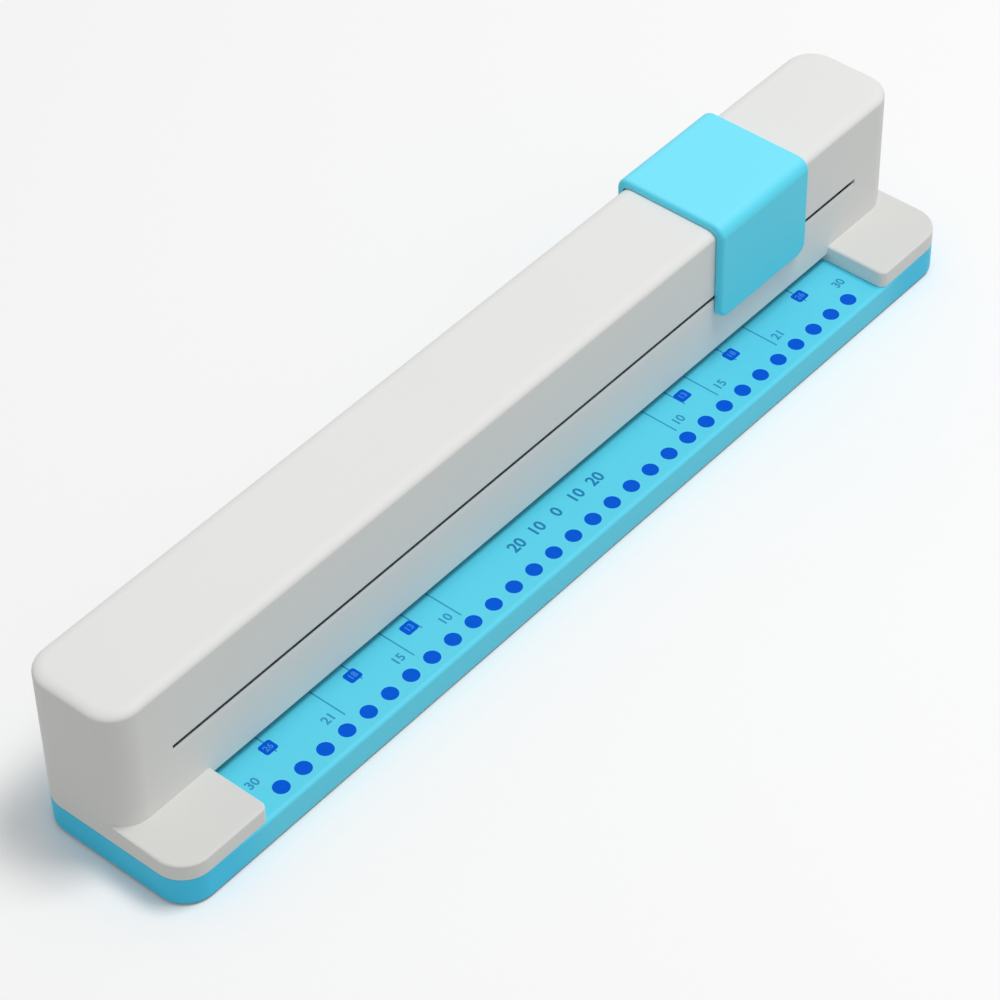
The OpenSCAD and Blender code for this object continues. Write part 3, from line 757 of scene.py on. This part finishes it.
def make_base():
    """The cyan tray: a ledge in front, a bed for the die plate, a chip chamber and two hollow ends."""
    base = block("base_tray", (-END_X, FRONT_Y, BASE_LOW.z), (END_X, BACK_Y, LEDGE_Z))
    round_edges(base, CORNER_R, CORNER_STEPS, upright)
    # The front edge is rounder between the ears than on the seam below the casing
    split_at_x(base, -LEDGE_X)
    split_at_x(base, LEDGE_X)
    on_ledge, on_front = at_height(LEDGE_Z), at_depth(FRONT_Y)
    round_edges(base, LEDGE_EDGE_R, 5,
                lambda a, b: on_ledge(a, b) and on_front(a, b)
                and max(abs(a.x), abs(b.x)) < LEDGE_X + SNUG)
    round_edges(base, RIM_R, 3, at_height(BASE_LOW.z))
    chamber = block("chamber", (-CHAMBER_X, FRONT_Y + SKIRT, BASE_LOW.z - PAST),
                    (CHAMBER_X, BACK_Y - SKIRT, DECK_Z))
    bed = block("die_bed", (DIE_LOW.x - SNUG, DIE_LOW.y - SNUG, DIE_LOW.z),
                (DIE_HIGH.x + SNUG, DIE_HIGH.y + SNUG, LEDGE_Z + PAST))
    chip_x = PIN_X[-1] + CHIP_SLOT_PAST
    chip_slot = block("chip_slot", (-chip_x, ROW_Y - CHIP_SLOT_HALF, DECK_Z - PAST),
                      (chip_x, ROW_Y + CHIP_SLOT_HALF, DIE_LOW.z + PAST))
    carve(base, chamber, end_hollow(-1), end_hollow(1), bed, chip_slot)
    for x, y in foot_places():
        carve(base, post("foot_seat", FOOT_R + SNUG, x, y, BASE_LOW.z - PAST, FEET_HIGH.z))
    for x, y in screw_places():
        carve(base, post("screw_seat", SCREW_SEAT_R, x, y, BASE_LOW.z - PAST, SEAT_Z),
              post("screw_hole", SCREW_R + SCREW_CLEAR, x, y, SEAT_Z - PAST, LEDGE_Z + PAST))
    for side in (-1, 1):
        for y in (ROW_Y - CHANNEL_SCREW_DY, ROW_Y + CHANNEL_SCREW_DY):
            carve(base, post("bore", SCREW_R + SNUG, side * CHANNEL_SCREW_X, y, CHANNEL_BORE_Z, LEDGE_Z))
        xs = sorted((side * (CHAMBER_X - PAST), side * (CHAMBER_X + CHAMBER_RIB + PAST)))
        carve(base, bar("hinge_bore", HINGE_R + SNUG, xs[0], xs[1], HINGE_Y, HINGE_Z))
    tidy_mesh(base)
    smooth(base)
    dress(base, BASE_PLASTIC, "frame", "cyan_plastic", "base")


# Slider handle
def make_handle():
    """The cyan saddle over the beam, with the two tongues that reach through the slots."""
    middle_x = (HANDLE_LOW.x + HANDLE_HIGH.x) / 2
    handle = block("handle_saddle", HANDLE_LOW, HANDLE_HIGH)
    round_edges(handle, HANDLE_EDGE_R, 10, lambda a, b: along_x(a, b) and near(a.z, HANDLE_HIGH.z))
    round_edges(handle, HANDLE_CORNER_R, 8, lambda a, b: along_y(a, b) and near(a.z, HANDLE_LOW.z))
    round_sharp(handle, HANDLE_RIM_R, 4)
    roof_z = TOP_Z + HANDLE_GAP
    inside = crowned_block("inside", (HANDLE_LOW.x - PAST, BEAM_Y - HANDLE_GAP, HANDLE_LOW.z - PAST),
                           (HANDLE_HIGH.x + PAST, BACK_Y + HANDLE_GAP, roof_z),
                           EDGE_REACH, EDGE_DROP, 0, lambda a, b: along_x(a, b) and near(a.z, roof_z))
    carve(handle, inside)
    for side in (-1, 1):
        ys = sorted((ROW_Y + side * TONGUE_IN, ROW_Y + side * TONGUE_OUT))
        tongue = block("tongue", (middle_x - TONGUE_L / 2, ys[0], SLOT_Z - TONGUE_T / 2),
                       (middle_x + TONGUE_L / 2, ys[1], SLOT_Z + TONGUE_T / 2))
        weld(handle, tongue)
    tidy_mesh(handle)
    smooth(handle)
    dress(handle, HANDLE_PLASTIC, "slider", "cyan_plastic", "slider_handle")


# Chip door, feet and screws
def make_door():
    """The flap under the chip chamber, with a rolled hinge edge and a finger grip."""
    low_z = HINGE_Z - BARREL_R + DOOR_UP
    door = block("chip_flap", (DOOR_LOW.x, DOOR_LOW.y, low_z), (DOOR_HIGH.x, HINGE_Y, low_z + DOOR_T))
    at_hinge = at_depth(HINGE_Y)
    round_edges(door, DOOR_EDGE_R, 3, lambda a, b: not at_hinge(a, b))
    barrel = bar("barrel", BARREL_R, DOOR_LOW.x, DOOR_HIGH.x, HINGE_Y, HINGE_Z)
    weld(door, barrel)
    grip = block("grip", (-GRIP_HALF_L, DOOR_LOW.y - PAST, low_z - PAST),
                 (GRIP_HALF_L, DOOR_LOW.y + GRIP_W, low_z + GRIP_DEEP))
    round_edges(grip, GRIP_CORNER_R, 5, lambda a, b: upright(a, b) and a.y > DOOR_LOW.y)
    carve(door, grip)
    for side in (-1, 1):
        xs = sorted((side * (DOOR_HIGH.x - DOOR_BORE_L), side * (DOOR_HIGH.x + PAST)))
        carve(door, bar("bore", HINGE_R + DOOR_BORE_CLEAR, xs[0], xs[1], HINGE_Y, HINGE_Z))
    tidy_mesh(door)
    smooth(door)
    dress(door, CYAN_PLASTIC, "door", "cyan_plastic", "chip_door")


def make_feet():
    """Four rubber feet with a rounded rim and a shallow cup below."""
    foot = post("foot", FOOT_R, 0, 0, FEET_LOW.z, FEET_HIGH.z)
    round_edges(foot, FOOT_EDGE_R, 3, at_height(FEET_LOW.z))
    carve(foot, post("cup", FOOT_R - FOOT_RIM, 0, 0, FEET_LOW.z - PAST, FEET_LOW.z + FOOT_CUP_DEEP))
    tidy_mesh(foot)
    feet = copies_as("rubber_pads", foot, foot_places())
    smooth(feet)
    dress(feet, RUBBER, "frame", "rubber", "rubber_feet")


def one_screw(tip_z):
    """A casing screw that points upwards, with a rounded head and a cross recess."""
    low = SCREWS_LOW.z
    screw = post("screw", SCREW_HEAD_R, 0, 0, low, SEAT_Z, 32)
    round_edges(screw, SCREW_HEAD_EDGE_R, 3, at_height(low))
    weld(screw, post("shank", SCREW_R, 0, 0, SEAT_Z - PAST / 2, tip_z, 24))
    arm, half = RECESS_ARM, RECESS_W / 2
    deep = low + RECESS_DEEP
    carve(screw, block("recess", (-arm, -half, low - PAST), (arm, half, deep)),
          block("recess", (-half, -arm, low - PAST), (half, arm, deep)))
    tidy_mesh(screw)
    return screw


def make_screws():
    """The six casing screws, long ones at the ends and short ones in the ears."""
    ear_places = [place for place in screw_places() if near(place[1], EAR_SCREW_Y)]
    end_places = [place for place in screw_places() if place not in ear_places]
    end_screws = copies_as("end_screws", one_screw(SCREWS_HIGH.z), end_places)
    ear_screws = copies_as("ear_screws", one_screw(EAR_SCREW_TIP_Z), ear_places)
    screws = group_as("casing_fixings", [end_screws, ear_screws])
    smooth(screws)
    dress(screws, DARK_STEEL, "frame", "dark_steel", "casing_screws")


# Return springs
def coil_mesh():
    """One coil of round wire about the Z axis, from the web up to a pin's collar."""
    low, high = SPRINGS_LOW.z + SPRING_WIRE_R, SPRINGS_HIGH.z - SPRING_WIRE_R
    bpy.ops.mesh.primitive_circle_add(vertices=WIRE_SIDES, radius=SPRING_WIRE_R,
                                      location=(SPRING_R, 0, low), rotation=(math.pi / 2, 0, 0))
    coil = settle("coil")
    screw = coil.modifiers.new("wind", "SCREW")
    screw.axis = "Z"
    screw.angle = math.pi
    screw.screw_offset = (high - low) / SPRING_HALF_TURNS
    screw.iterations = SPRING_HALF_TURNS
    screw.steps = HALF_TURN_STEPS
    screw.render_steps = HALF_TURN_STEPS
    select_only(coil)
    bpy.ops.object.modifier_apply(modifier=screw.name)
    bpy.ops.object.mode_set(mode="EDIT")
    bpy.ops.mesh.select_all(action="SELECT")
    bpy.ops.mesh.remove_doubles(threshold=DOUBLE_GAP / 2)
    bpy.ops.mesh.select_all(action="DESELECT")
    bpy.ops.mesh.select_mode(type="EDGE")
    bpy.ops.mesh.select_non_manifold()
    bpy.ops.mesh.fill_holes(sides=0)
    bpy.ops.mesh.select_all(action="SELECT")
    bpy.ops.mesh.normals_make_consistent(inside=False)
    bpy.ops.object.mode_set(mode="OBJECT")
    smooth(coil, 60)
    return coil


def make_springs():
    """A spring round each pin."""
    coil = coil_mesh()
    for name, x in zip(PINS, PIN_X):
        spring = copy_to(coil, name.replace("punch_pin", "pin_spring"), x, ROW_Y)
        dress(spring, SPRING_STEEL, "frame", "bright_steel", "return_springs")
        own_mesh(spring)
    bpy.data.objects.remove(coil)


# Print on the ledge
def ink_mark(name, length, ys, corner_r, lift=0):
    """A patch of ink with rounded corners on the ledge, lifted where it covers other ink."""
    mark = block(name, (-length / 2, ys[0], LEDGE_Z - INK_DOWN),
                 (length / 2, ys[1], LEDGE_Z + INK_UP + lift))
    round_edges(mark, corner_r, 5, upright)
    return mark


def ink_number(text, xs, y, height, lift=0):
    """A plain number standing on y, read from the front, printed at each place along the ledge."""
    bpy.ops.object.text_add(location=(0, y, LEDGE_Z - INK_DOWN + lift))
    words = bpy.context.active_object
    words.data.body = text
    words.data.align_x = "CENTER"
    words.data.size = height / FIGURE_SHARE
    words.data.extrude = (INK_UP + INK_DOWN) / 2
    words.data.offset = BOLD * height
    words.data.resolution_u = 4
    select_only(words)
    bpy.ops.object.convert(target="MESH")
    words = bpy.context.active_object
    words.location.z += (INK_UP + INK_DOWN) / 2
    return copies_as("number", settle("number"), [(x, 0) for x in xs])


def make_print():
    """The dots, size marks, badges and plain numbers on the ledge."""
    top = LEDGE_Z + INK_UP
    dot = post("dot", DOT_R, 0, DOT_Y, LEDGE_Z - INK_DOWN, top)
    round_edges(dot, INK_EDGE_R, 1, at_height(top))
    dots = copies_as("ledge_dots", dot, [(x, 0) for x in PIN_X])
    long_tick = ink_mark("long_tick", TICK_W, LONG_TICK_Y, TICK_END_R)
    short_tick = ink_mark("short_tick", TICK_W, SHORT_TICK_Y, TICK_END_R)
    ticks = group_as("ledge_ticks", [copies_as("long_ticks", long_tick, both_sides(*LONG_TICKS)),
                                     copies_as("short_ticks", short_tick, both_sides(*SHORT_TICKS))])
    badge = ink_mark("badge", BADGE_L, (BADGE_Y - BADGE_W / 2, BADGE_Y + BADGE_W / 2), BADGE_R, INK_UP)
    badges = copies_as("size_badges", badge, both_sides(*BADGE_XS))
    labels = [ink_number("30", (-END_LABEL_X, END_LABEL_X), LABEL_Y, LABEL_H)]
    for x, width in zip(LONG_TICKS, ("21", "15", "10")):
        labels.append(ink_number(width, (-x - LABEL_OUT, x + LABEL_OUT), LABEL_Y, LABEL_H))
    badge_numbers = []
    for x, width in zip(BADGE_XS, ("26", "18", "13")):
        number = ink_number(width, (-x, x), BADGE_Y - BADGE_LABEL_H / 2, BADGE_LABEL_H, 2 * INK_UP)
        badge_numbers.append(number)
    scale = [ink_number("0", (0,), SCALE_Y, SCALE_H)]
    for step in (1, 2):
        scale.append(ink_number(str(10 * step), (-step * SCALE_STEP, step * SCALE_STEP), SCALE_Y, SCALE_H))
    dress(dots, BLUE_INK, "frame", "cyan_plastic")
    dress(ticks, LABEL_INK, "frame", "cyan_plastic")
    dress(group_as("ledge_numbers", labels), LABEL_INK, "frame", "cyan_plastic")
    dress(group_as("middle_scale", scale), FINE_INK, "frame", "cyan_plastic")
    dress(badges, BLUE_INK, "frame", "cyan_plastic")
    dress(group_as("badge_numbers", badge_numbers), PALE_INK, "frame", "cyan_plastic")


# Pieces that keep their solid shape
KEPT = {
    ROLLED_STEEL: ["die_plate", "punch_channel"],
    STOP_STEEL: ["paper_stop"],
    TURNED_STEEL: ["press_roller", "roller_axle", "door_hinge_pins"],
    DARK_STEEL: ["guide_bar_dowels", "channel_screws"] + PINS,
    NATURAL_PLASTIC: ["pin_guide_bar", "carriage"],
    BLACK_STEEL: ["axle_clips"],
}


def finish_kept_nodes():
    """Give the pieces that keep their solid shape their materials."""
    for material, names in KEPT.items():
        for name in names:
            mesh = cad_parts[name].data
            mesh.materials.clear()
            mesh.materials.append(material)


# Stage
def seen_directly(nodes, links):
    """One where the camera, a gloss or a clear piece looks, and nought where light only bounces."""
    rays = nodes.new("ShaderNodeLightPath")
    first = nodes.new("ShaderNodeMath")
    first.operation = "MAXIMUM"
    either = nodes.new("ShaderNodeMath")
    either.operation = "MAXIMUM"
    links.new(rays.outputs["Is Camera Ray"], first.inputs[0])
    links.new(rays.outputs["Is Glossy Ray"], first.inputs[1])
    links.new(first.outputs[0], either.inputs[0])
    links.new(rays.outputs["Is Transmission Ray"], either.inputs[1])
    return either.outputs[0]


def make_floor():
    """A plain floor, seen paler than the light that it throws back."""
    bpy.ops.mesh.primitive_plane_add(size=FLOOR_SIZE)
    floor = settle("floor")
    material = bpy.data.materials.new("pale_floor")
    material.use_nodes = True
    nodes, links = material.node_tree.nodes, material.node_tree.links
    shader = nodes["Principled BSDF"]
    shader.inputs["Roughness"].default_value = 0.9
    shader.inputs["Specular IOR Level"].default_value = 0.1
    mix = nodes.new("ShaderNodeMix")
    mix.data_type = "RGBA"
    mix.inputs["A"].default_value = tint(FLOOR_BOUNCE)
    mix.inputs["B"].default_value = tint(FLOOR_SEEN)
    links.new(seen_directly(nodes, links), mix.inputs["Factor"])
    links.new(mix.outputs["Result"], shader.inputs["Base Color"])
    floor.data.materials.append(material)


def area_light(name, place, size, power):
    """A soft square lamp aimed at the punch."""
    bpy.ops.object.light_add(type="AREA", location=place)
    lamp = bpy.context.active_object
    lamp.name = name
    lamp.data.shape = "SQUARE"
    lamp.data.size = size
    lamp.data.energy = power
    lamp.rotation_euler = Vector(place).to_track_quat("Z", "Y").to_euler()


def make_world():
    """Even soft light, and a pale background where the camera or a gloss looks past the floor."""
    world = bpy.data.worlds.new("studio")
    bpy.context.scene.world = world
    world.use_nodes = True
    nodes, links = world.node_tree.nodes, world.node_tree.links
    soft = nodes["Background"]
    soft.inputs["Color"].default_value = (1, 1, 1, 1)
    soft.inputs["Strength"].default_value = SKY_LIGHT
    seen = nodes.new("ShaderNodeBackground")
    seen.inputs["Color"].default_value = (1, 1, 1, 1)
    seen.inputs["Strength"].default_value = SKY_SEEN
    mix = nodes.new("ShaderNodeMixShader")
    links.new(seen_directly(nodes, links), mix.inputs["Fac"])
    links.new(soft.outputs[0], mix.inputs[1])
    links.new(seen.outputs[0], mix.inputs[2])
    links.new(mix.outputs[0], nodes["World Output"].inputs["Surface"])


def make_camera():
    """The photograph's view."""
    bpy.ops.object.camera_add()
    camera = bpy.context.active_object
    camera.name = "photo_camera"
    camera.data.lens = PHOTO_LENS
    camera.data.sensor_width = 36
    camera.data.sensor_fit = "HORIZONTAL"
    camera.data.clip_end = 50
    turn = Matrix.Rotation(PHOTO_AZIMUTH, 4, "Z")
    tilt = Matrix.Rotation(math.pi / 2 - PHOTO_ELEVATION, 4, "X")
    roll = Matrix.Rotation(PHOTO_ROLL, 4, "Z")
    camera.matrix_world = Matrix.Translation(PHOTO_PLACE) @ turn @ tilt @ roll
    bpy.context.scene.camera = camera


make_casing()
make_base()
make_handle()
make_door()
make_feet()
make_screws()
make_springs()
make_print()
finish_kept_nodes()
make_floor()
make_world()
area_light("key_lamp", KEY_PLACE, KEY_SIZE, KEY_POWER)
make_camera()
bpy.context.scene.view_settings.view_transform = "Standard"
